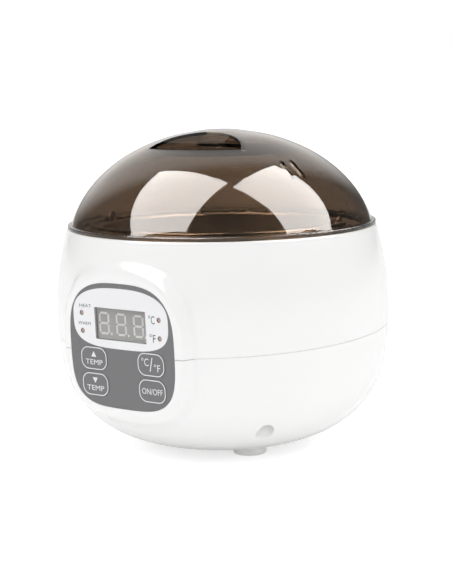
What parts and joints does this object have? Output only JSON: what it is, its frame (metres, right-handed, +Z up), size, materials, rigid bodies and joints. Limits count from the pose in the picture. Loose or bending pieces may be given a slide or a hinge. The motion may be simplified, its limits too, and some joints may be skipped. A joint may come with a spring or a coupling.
{
  "type": "wax warmer pot",
  "caption": "Round table-top wax warmer with a smoky see-through lid, a lift-out metal pot with a bail, and a flat keypad panel with a digital display.",
  "frame": {"origin": "middle of the footprint, on the surface that the feet stand on", "axes": "+Z up along the axis of the round body and of the lid and pot; -Y is the front, the way the keypad panel faces; +X is the user's right"},
  "size_m": [0.2082, 0.2062, 0.1979],
  "materials": {
    "white_shell": "glossy moulded ABS",
    "white_foot": "satin",
    "smoky_lid": "polished smoke-tinted clear plastic",
    "panel_grey": "printed membrane, satin",
    "panel_white": "satin",
    "display_lens": "clear film",
    "display_grey": "matt",
    "segment_white": "milky epoxy",
    "lamp_red": "tinted epoxy",
    "board_green": "solder mask",
    "black_plastic": "moulded",
    "relay_blue": "moulded",
    "aluminium": "spun and brushed",
    "steel": "zinc plated",
    "steel_wire": "polished",
    "heater_silicone": "silicone rubber",
    "seal_silicone": "silicone rubber",
    "wool_wrap": "felted fibre",
    "wire_insulation": "braided sleeve",
    "terminal_green": "moulded"
  },
  "bodies": {
    "base": {"upper_shell": "white_shell", "lower_shell": "white_shell", "shell_screws": "steel", "foot_front_right": "white_foot", "foot_front_left": "white_foot", "foot_rear": "white_foot", "cord_bush": "black_plastic", "cord_bush_nut": "black_plastic", "panel_carrier": "panel_white", "panel_overlay": "panel_grey", "display_window": "display_lens", "display_module": "display_grey", "display_segments": "segment_white", "indicator_lights": "lamp_red", "control_board": "board_green", "control_board_screws": "steel", "tact_switches": "black_plastic", "heating_bowl": "aluminium", "bowl_seal": "seal_silicone", "heater_band": "heater_silicone", "heater_clamps": "steel", "insulation_wrap": "wool_wrap", "temperature_sensor": "steel", "sensor_clip": "steel", "thermal_cutout": "steel", "heat_shield": "aluminium", "shield_screws": "steel", "power_board": "board_green", "power_board_screws": "steel", "power_transformer": "black_plastic", "power_relay": "relay_blue", "smoothing_capacitor": "black_plastic", "terminal_block": "terminal_green", "mains_fuse": "steel", "heater_leads": "wire_insulation", "panel_ribbon": "wire_insulation"},
    "pot": {"wax_pot": "aluminium", "pot_ears": "steel", "ear_rivets": "steel"},
    "bail": {"pot_bail": "steel_wire"},
    "lid": {"lid_dome": "smoky_lid", "lid_grip_plate": "smoky_lid"},
    "temp_up": {"key_temp_up": "panel_grey"},
    "temp_down": {"key_temp_down": "panel_grey"},
    "unit": {"key_unit": "panel_grey"},
    "power": {"key_power": "panel_grey"}
  },
  "joints": [
    {"name": "pot_lift", "type": "slide", "parent": "base", "child": "pot", "axis": [0, 0, 1], "range_m": [0, 0.09]},
    {"name": "lid_lift", "type": "slide", "parent": "pot", "child": "lid", "axis": [0, 0, 1], "range_m": [0, 0.12]},
    {"name": "bail_swing", "type": "hinge", "parent": "pot", "child": "bail", "pos_m": [0, 0, 0.1406], "axis": [-0.9781, -0.2079, 0], "range_deg": [0, 90]},
    {"name": "temp_up_press", "type": "slide", "parent": "base", "child": "temp_up", "axis": [0, 0.9988, 0.0488], "range_m": [0, 0.0004], "stiffness_N_per_m": 2000},
    {"name": "temp_down_press", "type": "slide", "parent": "base", "child": "temp_down", "axis": [0, 0.9988, 0.0488], "range_m": [0, 0.0004], "stiffness_N_per_m": 2000},
    {"name": "unit_press", "type": "slide", "parent": "base", "child": "unit", "axis": [0, 0.9988, 0.0488], "range_m": [0, 0.0004], "stiffness_N_per_m": 2000},
    {"name": "power_press", "type": "slide", "parent": "base", "child": "power", "axis": [0, 0.9988, 0.0488], "range_m": [0, 0.0004], "stiffness_N_per_m": 2000}
  ],
  "couplings": [
    {"joint": "bail_swing", "follows": "lid_lift", "rad_per_m": 13}
  ]
}
